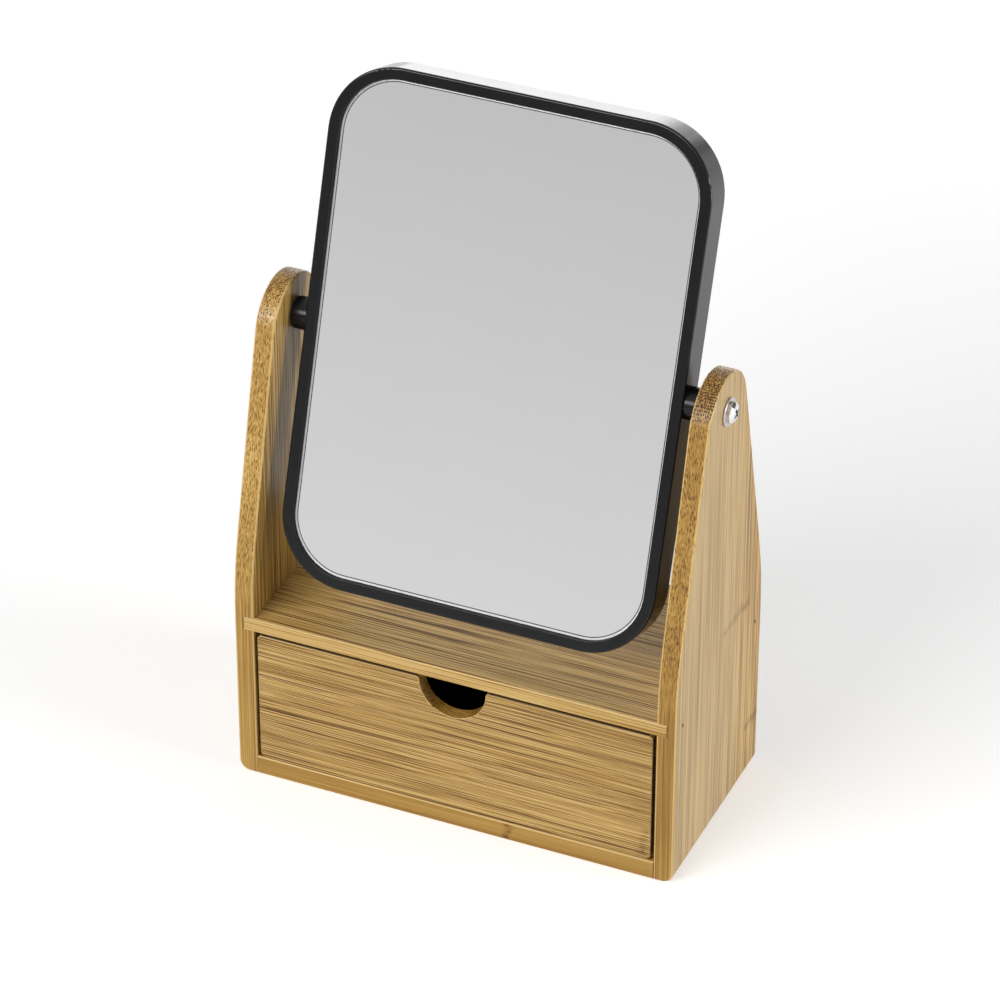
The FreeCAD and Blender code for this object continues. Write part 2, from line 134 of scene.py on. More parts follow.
bpy.ops.mesh.primitive_circle_add(vertices=128, radius=floor_radius, fill_type="NGON")
floor = bpy.context.object
floor.name = "floor"
white_floor = bpy.data.materials.new("white_floor")
tree = blank_tree(white_floor)
rays = step(tree, "LightPath").outputs
mirrored = larger(tree, rays["Is Glossy Ray"], rays["Is Transmission Ray"])
seen = larger(tree, rays["Is Camera Ray"], mirrored)
matt = step(tree, "BsdfDiffuse", {"Color": floor_white})
far_off = step(tree, "VectorMath", {0: step(tree, "TexCoord").outputs["Object"]},
               operation="LENGTH").outputs["Value"]
glow = times(tree, seen, slide(tree, far_off, near, far, near_lift, far_lift))
rim_glow = times(tree, rays["Is Camera Ray"],
                 slide(tree, far_off, far, rim, 0.0, rim_lift - far_lift))
lift = step(tree, "Emission", {"Strength": plus(tree, glow, rim_glow)})
both = step(tree, "AddShader", {0: matt.outputs[0], 1: lift.outputs[0]})
step(tree, "OutputMaterial", {"Surface": both.outputs[0]})
floor.data.materials.append(white_floor)


def nearness(tree, across, deep, way):
    """How nearly the level part of a ray runs one way: 1 along it, -1 against it."""
    length = sum_up(tree, "SQRT", plus(
        tree, times(tree, across, across), times(tree, deep, deep)))
    share = plus(tree, times(tree, across, way[0]), times(tree, deep, way[1]))
    return sum_up(tree, "DIVIDE", share, larger(tree, length, 0.001))


room_light = 0.25                # what the white room gives to matt surfaces
wall_way = (-0.335, -0.942)      # where the grey front wall stands
screen_way = (0.67, 0.74)        # where the dark screen stands
screen_dark = 0.88

world = bpy.data.worlds.new("white_room")
bpy.context.scene.world = world
tree = blank_tree(world)
rays = step(tree, "LightPath").outputs
across, deep, high = step(
    tree, "SeparateXYZ", {0: step(tree, "TexCoord").outputs["Generated"]}).outputs
front_wall = slide(tree, nearness(tree, across, deep, wall_way), 0.45, 0.85)
wall_low = slide(tree, high, -0.17, 0.13, 0.95, 0.53, soft=False)
wall_high = slide(tree, high, 0.57, 0.87, 0.0, 0.44)
mirrored_room = blend(tree, front_wall, 1.0, plus(tree, wall_low, wall_high))
screen_height = times(tree, slide(tree, high, -0.02, 0.06), slide(tree, high, 0.93, 0.85))
screen = times(tree, slide(tree, nearness(tree, across, deep, screen_way), 0.80, 0.88),
               screen_height)
mirrored_room = times(tree, mirrored_room, minus(
    tree, 1.0, times(tree, screen, screen_dark)))
mirrored = larger(tree, rays["Is Glossy Ray"], rays["Is Transmission Ray"])
strength = blend(tree, mirrored, room_light, mirrored_room)
strength = blend(tree, rays["Is Camera Ray"], strength, 1.0)
air = step(tree, "Background", {"Color": (1, 1, 1, 1), "Strength": strength})
step(tree, "OutputWorld", {"Surface": air.outputs[0]})


def soft_lamp(name, place, look_at, width, height, power):
    """A flat soft lamp at its place, turned to what it lights."""
    bpy.ops.object.light_add(type="AREA", location=place)
    lamp = bpy.context.object
    lamp.name = name
    lamp.data.shape = "RECTANGLE"
    lamp.data.size = width
    lamp.data.size_y = height
    lamp.data.energy = power
    lamp.visible_camera = False
    turn = Vector(place) - Vector(look_at)
    lamp.rotation_euler = turn.to_track_quat("Z", "Y").to_euler()


soft_lamp("key_lamp", (-0.9, -1.75, 1.35), (0, 0, 0.15), 1.7, 0.6, 40.0)
soft_lamp("fill_lamp", (1.9, 0.15, 0.5), (0, 0, 0.15), 0.9, 0.8, 25.0)
soft_lamp("back_strip", (-0.55, 1.55, 0.22), (0, 0, 0.2), 1.5, 0.34, 3.4)

# ---------------------------------------------------------------- side panels
# Two tapered boards of glued bamboo strips, 9 mm thick, their grain upright.
# They are cut to shape with a round top, sanded, and given a satin lacquer.


def dress(piece, finish):
    """Give one CAD piece its finish."""
    piece.data.materials.clear()
    piece.data.materials.append(finish)


def in_millimetres(tree):
    """Where a spot lies on its piece, in mm."""
    place = step(tree, "TexCoord").outputs["Object"]
    return step(tree, "VectorMath", {0: place, 3: 1000.0}, operation="SCALE").outputs[0]


def reckon(tree, operation, first, second):
    """One step of arithmetic on places or colours, which hold three numbers each."""
    return step(tree, "VectorMath", {0: first, 1: second}, operation=operation).outputs[0]


def drawn_out(tree, places, size):
    """Scale places so that a texture laid on them has clouds or cells of a size."""
    return reckon(tree, "MULTIPLY", places, tuple(1 / length for length in size))


def clouds(tree, places, size, detail=2.0, rough=0.5):
    """Soft noise about 0.5, in clouds of a size in mm."""
    return step(tree, "TexNoise", {
        "Vector": drawn_out(tree, places, size), "Scale": 1.0,
        "Detail": detail, "Roughness": rough})


def mix(tree, share, first, second):
    """Mix two colours of a finish, each a plain colour or another step."""
    return step(tree, "Mix", {0: share, 6: first, 7: second}, data_type="RGBA").outputs[2]


def weighted(tree, *parts):
    """Add up parts, each a value and its share."""
    total = 0.0
    for value, share in parts:
        total = plus(tree, total, times(tree, value, share))
    return total


def rods(tree, fibre, width, length, randomness, outer, core, faintest=0.15):
    """Fibre bundles: long rods, dark in the middle, each as dark as luck has it."""
    cells = step(tree, "TexVoronoi", {
        "Vector": drawn_out(tree, fibre, (width, width, length)), "Scale": 1.0,
        "Randomness": randomness}).outputs
    luck = step(tree, "SeparateColor", {0: cells["Color"]}).outputs[0]
    return times(tree, slide(tree, cells["Distance"], outer, core),
                 slide(tree, luck, 0.1, 1.0, faintest, 1.0, soft=False))


def growth_ring(tree, stalk, along, across, place, start, end):
    """A wavy band across a strip, dotted with darker specks, at a place along the grain."""
    waviness, half_width, full_dark = 9.0, 3.2, 0.4
    plain_shade, speck_shade = 0.20, 0.25
    ripple = clouds(tree, stalk, (8.0, 8.0, 16.0)).outputs[0]
    specks = step(tree, "TexVoronoi", {
        "Vector": drawn_out(tree, stalk, (1.3, 1.3, 1.6)), "Scale": 1.0})
    speck = slide(tree, specks.outputs["Distance"], 0.45, 0.2)
    off = plus(tree, minus(tree, along, place),
               times(tree, minus(tree, ripple, 0.5), waviness))
    band = slide(tree, size_of(tree, off), half_width, full_dark)
    within = times(tree, slide(tree, across, start - 0.5, start + 0.5),
                   slide(tree, across, end + 0.5, end - 0.5))
    return times(tree, times(tree, band, within), plus(
        tree, plain_shade, times(tree, speck, speck_shade)))


def sawn_rim(tree, axes, half_width, bottom, top):
    """The outermost half millimetre round a board's broad face."""
    ends = slide(tree, size_of(tree, axes["X"]), half_width - 0.45, half_width - 0.15)
    upper = slide(tree, axes["Z"], top - 0.40, top - 0.15)
    lower = slide(tree, axes["Z"], bottom + 0.45, bottom + 0.15)
    return larger(tree, larger(tree, ends, upper), lower)


# how dark a spot of bamboo is, and its colour there
bamboo_colours = (
    (0.00, (0.660, 0.440, 0.155, 1)),
    (0.16, (0.515, 0.312, 0.072, 1)),
    (0.37, (0.385, 0.207, 0.030, 1)),
    (0.64, (0.225, 0.099, 0.009, 1)),
    (0.88, (0.120, 0.045, 0.003, 1)),
    (1.00, (0.052, 0.020, 0.004, 1)),
)
# a paler colour painted on the panels' outer faces: a painted sheen
painted_sheen_bamboo = (0.45, 0.34, 0.175, 1)
# a near black colour painted on the drawer front's sawn edges: painted shade for the gaps round
# it
gap_shade_bamboo = (0.026, 0.011, 0.004, 1)


def bamboo(name, grain, strips, strip_width, seed, streak=1.0, tone=0.0, rings=(), painted_sheen_side=0,
           pores=1.0, coarse=1.0, crisp=1.0, painted_gap_shade=None):
    """Lacquered bamboo: strips side by side, fibre bundles, streaks, growth rings.

    grain and strips name the axes along the fibres and across the strips. rings
    lists growth rings: (place along the grain, from, to across the strips), in mm.
    painted_sheen_side is the side, +1 or -1, of an outer face painted paler as a
    painted sheen. coarse widens the fibres and crisp makes them stand out.
    painted_gap_shade gives the half width, bottom and top, in mm, of a board whose
    sawn edges are painted dark as painted shade in the gaps round it.
    """
    finish = bpy.data.materials.new(name)
    tree = blank_tree(finish)
    axes = dict(zip("XYZ", step(tree, "SeparateXYZ", {0: in_millimetres(tree)}).outputs))
    facing = dict(zip("XYZ", step(tree, "SeparateXYZ", {
        0: step(tree, "TexCoord").outputs["Normal"]}).outputs))
    thickness = next(axis for axis in "XYZ" if axis not in (grain, strips))
    along, across, depth = axes[grain], axes[strips], axes[thickness]
    cut_across = size_of(tree, facing[grain])
    end_grain = slide(tree, cut_across, 0.40, 0.62)
    edge_on = slide(tree, size_of(tree, facing[strips]), 0.5, 0.9)
    flat_on = size_of(tree, facing[thickness])

    # each strip comes from another stalk, so its tone and its figure are its own
    first_joint, first_strip = 1000.0 + seed * 7.3, seed * 31.0
    joint_width = 0.16
    other_stalk = (19.0, 23.0, 700.0)
    strip_place = sum_up(tree, "DIVIDE", plus(tree, across, first_joint), strip_width)
    strip = plus(tree, sum_up(tree, "FLOOR", strip_place), first_strip)
    luck = step(tree, "TexWhiteNoise", {"W": strip}, noise_dimensions="1D").outputs
    off_middle = size_of(tree, minus(tree, sum_up(tree, "FRACT", strip_place), 0.5))
    joint = slide(tree, off_middle, 0.5 - joint_width / strip_width, 0.5)
    stalk = step(tree, "CombineXYZ", {0: across, 1: depth, 2: along}).outputs[0]
    jump = reckon(tree, "MULTIPLY", luck["Color"], other_stalk)
    stalk = reckon(tree, "ADD", stalk, jump)

    # the fibres wander a little from side to side on their way up the stalk
    middle, reach = (0.5, 0.5, 0.5), (1.1, 1.1, 0.0)
    wander = reckon(
        tree, "SUBTRACT", clouds(tree, stalk, (22.0, 22.0, 120.0)).outputs["Color"], middle)
    fibre = reckon(tree, "ADD", stalk, reckon(tree, "MULTIPLY", wander, reach))

    # fibre bundles and single dark lines, and their cut ends as specks and pores
    bundle_width, line_width = 0.80 * math.sqrt(coarse), 1.7 * math.sqrt(coarse)
    fine_width = 0.40 * coarse
    bundle = rods(tree, fibre, bundle_width, 150.0, randomness=0.85, outer=0.44, core=0.20,
                  faintest=0.35)
    line = rods(tree, fibre, line_width, 220.0, randomness=1.0, outer=0.24, core=0.12)
    speckle = times(tree, slide(tree, cut_across, 0.03, 0.25), rods(
        tree, fibre, 0.72, 8.0, randomness=0.85, outer=0.47, core=0.22, faintest=0.5))
    pore = times(tree, end_grain, times(tree, rods(
        tree, fibre, 1.0, 30.0, randomness=0.42, outer=0.47, core=0.27, faintest=0.6), pores))

    # fine grain and streaks along the fibres, broad shades and clouds over the strip
    fine = clouds(
        tree, fibre, (fine_width, fine_width, 110.0), detail=3.0, rough=0.6).outputs[0]
    streaks = clouds(tree, fibre, (2.0, 2.0, 200.0), detail=3.0, rough=0.6).outputs[0]
    broad = clouds(tree, stalk, (9.0, 9.0, 200.0)).outputs[0]
    cloudy = clouds(tree, stalk, (40.0, 40.0, 90.0)).outputs[0]

    # how dark a spot is comes from its fibres first, which the narrow edges show less,
    dark = weighted(
        tree,
        (bundle, 0.80 * streak),
        (line, 0.40 * streak),
        (minus(tree, fine, 0.5), 2.9 * streak * crisp),
        (minus(tree, streaks, 0.5), 0.28 * streak))
    dark = times(tree, dark, minus(tree, 1.0, times(tree, edge_on, 0.60)))
    # then from cut ends, strips and growth rings; the sanded arrises are painted paler, partly as
    # wear and partly as a painted highlight
    worn_and_highlit_arris = times(tree, slide(tree, flat_on, 0.12, 0.35), slide(tree, flat_on, 0.985, 0.90))
    dark = weighted(
        tree,
        (dark, 1.0),
        # the narrow edges are painted a touch darker: painted shade
        (edge_on, 0.05),
        (pore, 1.35),
        (speckle, 0.50),
        (minus(tree, broad, 0.5), 0.5),
        (minus(tree, cloudy, 0.5), 0.35),
        (minus(tree, luck["Value"], 0.5), 0.14),
        (joint, 0.14),
        *((growth_ring(tree, stalk, along, across, *ring), 1.0) for ring in rings),
        (worn_and_highlit_arris, -0.52))
    dark = plus(tree, dark, 0.22 + tone)

    ramp = step(tree, "ValToRGB", {0: dark})
    stops = ramp.color_ramp.elements
    stops[0].color, stops[1].color = bamboo_colours[0][1], bamboo_colours[-1][1]
    for spot, colour in bamboo_colours[1:-1]:
        stops.new(spot).color = colour
    colour = ramp.outputs[0]
    # the outer face is painted paler, most at the front: a painted sheen for the white it mirrors
    # at a glancing view
    if painted_sheen_side:
        outer = times(tree, slide(tree, times(tree, facing["X"], painted_sheen_side), 0.5, 0.95),
                      slide(tree, axes["Y"], 0.0, 46.0, 0.52, 0.0))
        colour = mix(tree, outer, colour, painted_sheen_bamboo)
    # the sawn edges are painted near black, in streaks: painted shade, so that the gaps round the
    # board read dark
    if painted_gap_shade:
        gap_shade_share = times(tree, sawn_rim(tree, axes, *painted_gap_shade),
                      slide(tree, streaks, 0.35, 0.65, 0.82, 0.96))
        colour = mix(tree, gap_shade_share, colour, gap_shade_bamboo)

    height = weighted(tree, (fine, 0.6), (larger(tree, bundle, pore), -0.8), (joint, -0.4))
    relief = step(tree, "Bump", {"Strength": 0.4, "Distance": 0.00018, "Height": height})
    gloss = slide(tree, dark, 0.1, 0.9, 0.36, 0.58, soft=False)
    shader = step(tree, "BsdfPrincipled", {
        "Base Color": colour, "Roughness": gloss,
        "Normal": relief.outputs[0], "IOR": 1.45,
        "Coat Weight": 0.12, "Coat Roughness": 0.25})
    step(tree, "OutputMaterial", {"Surface": shader.outputs[0]})
    return finish


panel_strip, board_strip, whole_board = 23.0, 21.0, 66.0

dress(cad["side_panel_right"], bamboo(
    "bamboo_panel_right", "Z", "Y", panel_strip, 1.0, streak=0.75, tone=0.04, coarse=1.3,
    crisp=1.3, rings=((93.5, 3.0, 33.0), (26.0, 32.0, 48.0)), painted_sheen_side=1))
dress(cad["side_panel_left"], bamboo(
    "bamboo_panel_left", "Z", "Y", panel_strip, 6.0, streak=0.8, coarse=1.3, crisp=1.3,
    painted_sheen_side=-1))

# ---------------------------------------------------------------- shelf, base and back
# Three plain boards of the same bamboo, grain from side to side. The shelf's ends
# sit in grooves in the panels, the base is dowelled, the back is held by brads.
dress(cad["shelf_board"], bamboo(
    "bamboo_shelf", "X", "Y", board_strip, 9.0, streak=0.9, tone=-0.16, crisp=2.9))
dress(cad["base_board"], bamboo(
    "bamboo_base", "X", "Y", board_strip, 13.0, streak=0.6, tone=0.16,
    rings=((25.0, -48.0, -40.0),)))
dress(cad["back_board"], bamboo("bamboo_back", "X", "Z", board_strip, 17.0, streak=0.9))

# ---------------------------------------------------------------- drawer
# An open box of bamboo boards with a dark bottom in a groove. The front has a
# half-round notch for a finger, and laps over the sides, which are bradded to it.
# the drawer front's sawn edges get painted shade, so that the gaps round it read dark
front_half_width, front_bottom, front_top = 89.9, 9.3, 72.5
dress(cad["drawer_front"], bamboo(
    "bamboo_drawer_front", "X", "Z", whole_board, 21.0, streak=0.85, tone=0.045, pores=0.3,
    coarse=0.62, crisp=2.3, rings=((86.0, 11.0, 25.0),),
    painted_gap_shade=(front_half_width, front_bottom, front_top)))
dress(cad["drawer_back"], bamboo(
    "bamboo_drawer_back", "X", "Z", whole_board, 25.0, streak=0.9))
dress(cad["drawer_side_left"], bamboo(
    "bamboo_drawer_left", "Y", "Z", whole_board, 29.0, streak=0.9))
dress(cad["drawer_side_right"], bamboo(
    "bamboo_drawer_right", "Y", "Z", whole_board, 33.0, streak=0.9))

# ---------------------------------------------------------------- drawer bottom, dowels and brads
# A dark hardboard bottom, ribbed beech dowels under the base, and coated steel
# brads with small flat heads, driven flush and touched in with wood wax.


def worn_in(name, colour, other_colour, size, rough, relief, metal=0.0, ior=1.45, skin=0.6):
    """A plain finish brought to life: clouds in colour and gloss, and a fine skin.

    size is the clouds' size and skin the skin's grain, in mm; relief is in metres.
    """
    finish = bpy.data.materials.new(name)
    tree = blank_tree(finish)
    in_mm = in_millimetres(tree)
    blotches = clouds(tree, in_mm, size, 4.0, 0.6).outputs[0]
    grain = step(tree, "TexNoise", {"Vector": in_mm, "Scale": 1.0 / skin, "Detail": 2.0,
                                    "Roughness": 0.5}).outputs[0]
    gloss = slide(tree, plus(tree, blotches, grain), 0.6, 1.4, rough * 0.8, rough * 1.2,
                  soft=False)
    bump = step(tree, "Bump", {"Strength": 0.4, "Distance": relief, "Height": grain})
    shader = step(tree, "BsdfPrincipled", {
        "Base Color": mix(tree, slide(tree, blotches, 0.3, 0.7), (*colour, 1),
                          (*other_colour, 1)),
        "Roughness": gloss, "Normal": bump.outputs[0], "Metallic": metal, "IOR": ior})
    step(tree, "OutputMaterial", {"Surface": shader.outputs[0]})
    return finish


dress(cad["drawer_bottom"], worn_in(
    "dark_hardboard", (0.016, 0.013, 0.011), (0.030, 0.025, 0.021), (3.0, 1.2, 3.0),
    0.6, 0.00008, skin=0.5))
dress(cad["base_dowels"], worn_in(
    "beech_dowel", (0.55, 0.36, 0.19), (0.44, 0.26, 0.12), (14.0, 0.6, 0.6),
    0.6, 0.00005, skin=0.35))
brad_steel = worn_in("brad_steel", (0.17, 0.11, 0.055), (0.25, 0.17, 0.09),
                     (1.0, 1.0, 1.0), 0.45, 0.00002, metal=0.5, skin=0.3)
for row in ("panel_brads", "back_brads", "drawer_brads", "drawer_bottom_brads"):
    dress(cad[row], brad_steel)

# ---------------------------------------------------------------- mirror frame
# A deep rounded frame moulded in black plastic with a satin skin, a bezel of the
# same plastic pressed in from behind, and a grey core and two cards out of sight.
pivot = Vector((0.0, 0.0, 0.2045))
lean = math.radians(-18.0)
frame_half_width, frame_half_height, frame_half_depth = 0.0835, 0.1110, 0.0080
frame_corner, lip_width = 0.030, 0.0050

black, paler_black = (0.0018, 0.0019, 0.0028), (0.0030, 0.0031, 0.0042)
black_plastic = worn_in("black_plastic", black, paler_black, (9.0, 9.0, 9.0),
                        0.15, 0.00002, ior=1.39, skin=0.5)
collar_plastic = worn_in("collar_plastic", black, paler_black, (9.0, 9.0, 9.0),
                         0.24, 0.00001, ior=1.33, skin=0.5)

# the wall inside each lip is left matt, so that the glass doesn't light it up
matt_rough = 0.8
pivot_mm = pivot * 1000
lip_corner_mm = (frame_corner - lip_width) * 1000
lip_front_mm = frame_half_depth * 1000
for lipped in ("mirror_frame", "rear_bezel"):
    finish = black_plastic.copy()
    finish.name = lipped + "_plastic"
    tree = finish.node_tree
    upright = step(tree, "VectorRotate", {
        "Vector": in_millimetres(tree), "Center": pivot_mm, "Angle": -lean},
        rotation_type="X_AXIS").outputs[0]
    aside, forward, up = step(tree, "SeparateXYZ", {
        0: reckon(tree, "SUBTRACT", upright, pivot_mm)}).outputs
    # how far a spot lies from the lines that the round corners turn about
    past_corner = [
        larger(tree, minus(tree, size_of(tree, way), (half - frame_corner) * 1000), 0.0)
        for way, half in ((aside, frame_half_width), (up, frame_half_height))]
    spread = sum_up(tree, "SQRT", plus(tree, *(
        times(tree, part, part) for part in past_corner)))
    inner_wall = times(
        tree, slide(tree, spread, lip_corner_mm + 0.25, lip_corner_mm + 0.10),
        slide(tree, size_of(tree, forward), lip_front_mm - 0.05, lip_front_mm - 0.25))
    shader = next(node for node in tree.nodes if node.type == "BSDF_PRINCIPLED")
    satin = shader.inputs["Roughness"].links[0].from_socket
    tree.links.new(larger(tree, satin, times(tree, inner_wall, matt_rough)),
                   shader.inputs["Roughness"])
    dress(cad[lipped], finish)
for collar in ("pivot_spacer_left", "pivot_spacer_right"):
    dress(cad[collar], collar_plastic)
dress(cad["core_frame"], worn_in(
    "grey_plastic", (0.085, 0.088, 0.092), (0.10, 0.105, 0.11), (12.0, 12.0, 12.0),
    0.5, 0.00003, skin=0.8))
card = worn_in("backing_card", (0.115, 0.088, 0.062), (0.085, 0.064, 0.044),
               (2.0, 2.0, 2.0), 0.75, 0.00006, skin=0.4)
dress(cad["front_backing_card"], card)
dress(cad["rear_backing_card"], card)

# ---------------------------------------------------------------- mirror glasses
# Two plates of silvered float glass lie back to back in the frame, each held under a
# lip. Inside the lip show a narrow white ground rim and a dark band painted on the glass as a
# painted reflection of the lip's dark wall.
glass_back, glass_face = 0.0038, 0.0056
front_margin, rear_margin = 0.0023, 0.00355      # from the frame's outline to the glass
rim_width, dark_edge_width = 0.00090, 0.00045


def pick(kind, wanted):
    """In edit mode, select only the faces or edges that answer a description."""
    bpy.ops.mesh.select_mode(type={"faces": "FACE", "edges": "EDGE"}[kind])
    bpy.ops.mesh.select_all(action="DESELECT")
    shape = bmesh.from_edit_mesh(bpy.context.object.data)
    for part in getattr(shape, kind):
        if wanted(part):
            part.select_set(True)
    shape.select_flush_mode()
    bmesh.update_edit_mesh(bpy.context.object.data)


def paint(piece, layer):
    """In edit mode, give the selected faces one of the piece's finishes."""
    piece.active_material_index = layer
    bpy.ops.object.material_slot_assign()


def freeze():
    """Put the piece in hand, as placed, turned and sized, into its mesh."""
    bpy.ops.object.transform_apply(location=True, rotation=True, scale=True)


def settle(piece, name, sharp=30.0):
    """Name a finished piece, put its place in its mesh, turn faces out, smooth curves."""
    bpy.ops.object.mode_set(mode="OBJECT")
    freeze()
    bpy.ops.object.mode_set(mode="EDIT")
    bpy.ops.mesh.select_all(action="SELECT")
    bpy.ops.mesh.remove_doubles(threshold=0.000004)
    bpy.ops.mesh.normals_make_consistent(inside=False)
    bpy.ops.object.mode_set(mode="OBJECT")
    bpy.ops.object.shade_smooth_by_angle(angle=math.radians(sharp))
    piece.name = piece.data.name = name


silver = worn_in("mirror_silver", (0.876, 0.882, 0.877), (0.886, 0.890, 0.884),
                 (35.0, 35.0, 35.0), 0.010, 0.0000004, metal=1.0, skin=20.0)
ground_glass = worn_in("ground_glass", (0.95, 0.955, 0.95), (0.82, 0.83, 0.825),
                       (1.5, 1.5, 1.5), 0.5, 0.00003, skin=0.25)
painted_lip_reflection = worn_in("painted_lip_reflection", (0.035, 0.036, 0.038), (0.06, 0.061, 0.063),
                       (1.5, 1.5, 1.5), 0.4, 0.00001, skin=0.25)
mirror_face, ground_rim, dark_edge = 0, 1, 2

for side, margin, turn in (("front", front_margin, 0.0), ("rear", rear_margin, math.pi)):
    bpy.ops.object.select_all(action="DESELECT")
    bpy.ops.mesh.primitive_plane_add(size=1.0, rotation=(math.pi / 2, 0, 0))
    plate = bpy.context.object
    plate.location = (0, -glass_back, 0)
    plate.scale = (2 * (frame_half_width - margin), 2 * (frame_half_height - margin), 1)
    freeze()
    bpy.ops.object.mode_set(mode="EDIT")
    bpy.ops.mesh.select_all(action="SELECT")
    bpy.ops.mesh.bevel(offset=frame_corner - margin, segments=28, affect="VERTICES")
    bpy.ops.mesh.select_mode(type="FACE")
    bpy.ops.mesh.select_all(action="SELECT")
    bpy.ops.mesh.extrude_region_move(
        TRANSFORM_OT_translate={"value": (0, glass_back - glass_face, 0)})
    bpy.ops.mesh.select_all(action="SELECT")
    bpy.ops.mesh.normals_make_consistent(inside=False)
    for layer in (silver, ground_glass, painted_lip_reflection):
        plate.data.materials.append(layer)
    paint(plate, ground_rim)
    pick("faces", lambda face: face.normal.y < -0.9)
    bpy.ops.mesh.inset(thickness=lip_width + rim_width - margin)
    # a narrow dark band round the silver: painted reflection of the lip's dark wall
    paint(plate, dark_edge)
    bpy.ops.mesh.inset(thickness=dark_edge_width)
    paint(plate, mirror_face)
    bpy.ops.object.mode_set(mode="OBJECT")
    plate.rotation_euler = (0, 0, turn)
    freeze()
    plate.rotation_euler = (lean, 0, 0)
    plate.location = pivot
    settle(plate, side + "_mirror_glass", 20.0)
    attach(plate, "mirror")
    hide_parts(side + "_glass")

# ---------------------------------------------------------------- pivot inserts and rings
# Turned brass inserts take the screws in the frame's sides, and a rubber ring round
# each collar rubs on the panel and holds the mirror at any tilt.
brass = worn_in("insert_brass", (0.56, 0.36, 0.13), (0.62, 0.42, 0.17), (0.25, 6.0, 6.0),
                0.3, 0.00001, metal=1.0, skin=0.3)
rubber = worn_in("ring_rubber", (0.010, 0.010, 0.010), (0.016, 0.016, 0.016),
                 (3.0, 3.0, 3.0), 0.7, 0.00004, skin=0.3)
for hand in ("left", "right"):
    dress(cad["threaded_insert_" + hand], brass)
    dress(cad["friction_ring_" + hand], rubber)

# ---------------------------------------------------------------- pivot washers
# Flat pressed washers of zinc-plated steel under the screw heads, with a rolled rim.
# They stay with the panels while the screws turn with the mirror.
panel_face = 0.1000
washer_radius, washer_hole, washer_thickness = 0.0062, 0.00215, 0.0009
rolled_rim = 0.0003
hair = 0.00001                   # places nearer than this lie level
zinc = worn_in("zinc_plate", (0.60, 0.585, 0.615), (0.50, 0.49, 0.52), (1.4, 1.4, 1.4),
               0.30, 0.00001, metal=1.0, skin=0.35)


def copy_to_the_left(piece, name):
    """Copy a right-hand piece, with its own mesh, and turn it round to the left."""
    bpy.ops.object.select_all(action="DESELECT")
    piece.select_set(True)
    bpy.context.view_layer.objects.active = piece
    bpy.ops.object.duplicate(linked=False)
    copy = bpy.context.object
    bpy.ops.object.mode_set(mode="EDIT")
    bpy.ops.mesh.select_all(action="SELECT")
    bpy.ops.transform.rotate(value=math.pi, orient_axis="Z", center_override=(0, 0, 0))
    bpy.ops.object.mode_set(mode="OBJECT")
    copy.name = copy.data.name = name
    return copy


def add_disc(radius, foot, top):
    """Add a round disc on the pivot's line, from one X to another, ready for edit mode."""
    bpy.ops.object.select_all(action="DESELECT")
    bpy.ops.mesh.primitive_cylinder_add(
        vertices=72, radius=radius, depth=top - foot,
        location=((foot + top) / 2, 0, pivot.z), rotation=(0, math.pi / 2, 0))
    freeze()
    return bpy.context.object


def off_line(place):
    """How far a place lies from the pivot's line."""
    return (place - pivot).yz.length


washer = add_disc(washer_radius, panel_face, panel_face + washer_thickness)
bpy.ops.object.mode_set(mode="EDIT")
pick("faces", lambda face: abs(face.normal.x) > 0.9)
bpy.ops.mesh.inset(thickness=washer_radius - washer_hole)
bpy.ops.mesh.bridge_edge_loops()
pick("edges", lambda edge: abs(edge.verts[0].co.x - edge.verts[1].co.x) < hair
     and all(off_line(vert.co) > washer_radius - 0.0002 for vert in edge.verts))
bpy.ops.mesh.bevel(offset=rolled_rim, segments=4, affect="EDGES")
settle(washer, "right_washer")
washer.data.materials.append(zinc)
left_washer = copy_to_the_left(washer, "left_washer")
for ring, hand in ((washer, "right"), (left_washer, "left")):
    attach(ring, "stand")
    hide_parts("pivot_washer_" + hand)

# ---------------------------------------------------------------- pivot screws
# Chromed pan-head machine screws with a cross recess. Each goes through its washer
# and panel into the brass insert in the frame, and turns with the mirror.
head_foot, head_height, head_radius = 0.1010, 0.00289, 0.0046
dome = ((0.00035, 0.00048), (0.00055, 0.00045), (0.0008, 0.00040), (0.0010, 0.00022),
        (0.0010, 0.00010))      # how far in and how far up each ring of the head goes
shank_radius, shank_tip, tip_bevel = 0.0020, 0.0710, 0.0005
head_top = head_foot + head_height
rim_top = head_top - sum(rise for inward, rise in dome)
recess_span, recess_width, recess_depth = 0.0054, 0.0013, 0.0018
recess_taper, recess_edge = (1, 0.40, 0.60), 0.00008
over_head = 0.0002               # how far the recess's cutter sticks out of the head
chrome = worn_in("screw_chrome", (0.80, 0.80, 0.81), (0.70, 0.70, 0.72), (2.0, 0.3, 2.0),
                 0.10, 0.000004, metal=1.0, skin=0.3)
# a dark finish for the cross recess: painted shade in the recess
recess_painted_shade = worn_in("recess_painted_shade", (0.10, 0.10, 0.11), (0.22, 0.22, 0.23),
                        (0.8, 0.8, 0.8), 0.25, 0.000004, metal=1.0, skin=0.3)

screw = add_disc(head_radius, head_foot, rim_top)
bpy.ops.object.mode_set(mode="EDIT")
pick("faces", lambda face: face.normal.x > 0.99)
for inward, rise in dome:
    bpy.ops.mesh.inset(thickness=inward, depth=rise)
pick("faces", lambda face: face.normal.x < -0.99)
bpy.ops.mesh.inset(thickness=head_radius - shank_radius)
bpy.ops.mesh.extrude_region_move(
    TRANSFORM_OT_translate={"value": (shank_tip - head_foot, 0, 0)})
pick("edges", lambda edge: all(vert.co.x < shank_tip + hair for vert in edge.verts))
bpy.ops.mesh.bevel(offset=tip_bevel, segments=2, affect="EDGES")
bpy.ops.object.mode_set(mode="OBJECT")

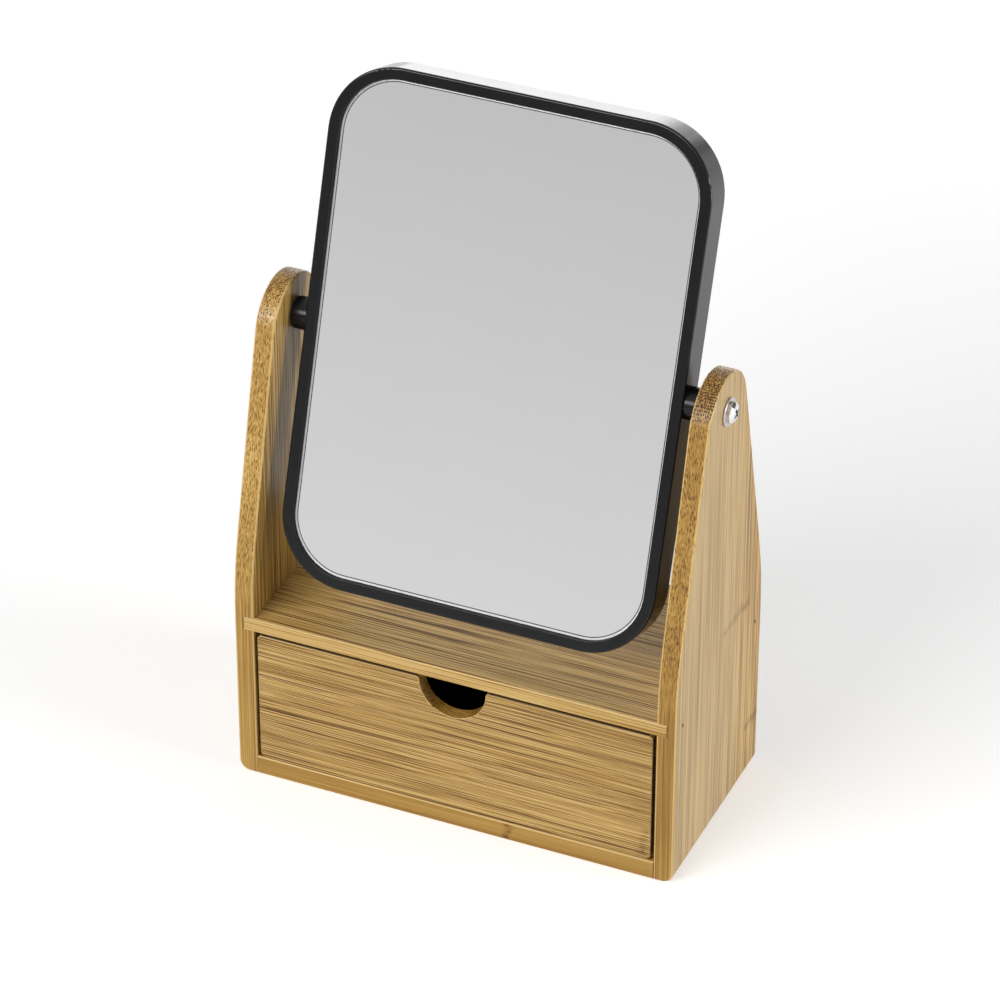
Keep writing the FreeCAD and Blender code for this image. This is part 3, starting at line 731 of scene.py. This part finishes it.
# the two arms of the cross are cut in turn, each narrower at its bottom
for arm_turn in (25.0, 115.0):
    bpy.ops.object.select_all(action="DESELECT")
    bpy.ops.mesh.primitive_cube_add(size=1.0)
    arm = bpy.context.object
    arm.scale = (recess_depth + 2 * over_head, recess_span, recess_width)
    arm.location = (head_top + over_head - recess_depth / 2, 0, 0)
    freeze()
    bpy.ops.object.mode_set(mode="EDIT")
    pick("faces", lambda face: face.normal.x < -0.9)
    bpy.ops.transform.resize(value=recess_taper, center_override=(head_top, 0, 0))
    bpy.ops.object.mode_set(mode="OBJECT")
    arm.rotation_euler = (math.radians(arm_turn), 0, 0)
    arm.location = (0, 0, pivot.z)
    freeze()
    bpy.ops.object.select_all(action="DESELECT")
    screw.select_set(True)
    bpy.context.view_layer.objects.active = screw
    bpy.ops.object.modifier_add(type="BOOLEAN")
    cut = screw.modifiers[-1]
    cut.operation = "DIFFERENCE"
    cut.solver = "EXACT"
    cut.object = arm
    bpy.ops.object.modifier_apply(modifier=cut.name)
    bpy.data.objects.remove(arm, do_unlink=True)


def recess_lip(edge):
    """Whether an edge is a sharp one, where the recess breaks through the dome."""
    sharp_turn = 0.6
    return edge.is_manifold and edge.calc_face_angle() > sharp_turn and all(
        vert.co.x > rim_top + 0.0006 and off_line(vert.co) < 0.0030 for vert in edge.verts)


def recess_wall(face):
    """Whether a face is a wall or the floor of the recess."""
    middle = face.calc_center_median()
    return (off_line(middle) < recess_span / 2 and middle.x > head_foot + 0.0005
            and (face.normal.x < 0.85 or middle.x < head_top - 0.0006))


bpy.ops.object.mode_set(mode="EDIT")
pick("edges", recess_lip)
bpy.ops.mesh.bevel(offset=recess_edge, segments=2, affect="EDGES")
screw.data.materials.append(chrome)
screw.data.materials.append(recess_painted_shade)
# the recess's walls and floor get the dark finish: painted shade
pick("faces", recess_wall)
paint(screw, 1)
settle(screw, "right_screw")
left_screw = copy_to_the_left(screw, "left_screw")
for bolt, hand in ((screw, "right"), (left_screw, "left")):
    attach(bolt, "mirror")
    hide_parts("pivot_screw_" + hand)

# ---------------------------------------------------------------- the picture's colour
bpy.context.scene.view_settings.view_transform = "Standard"
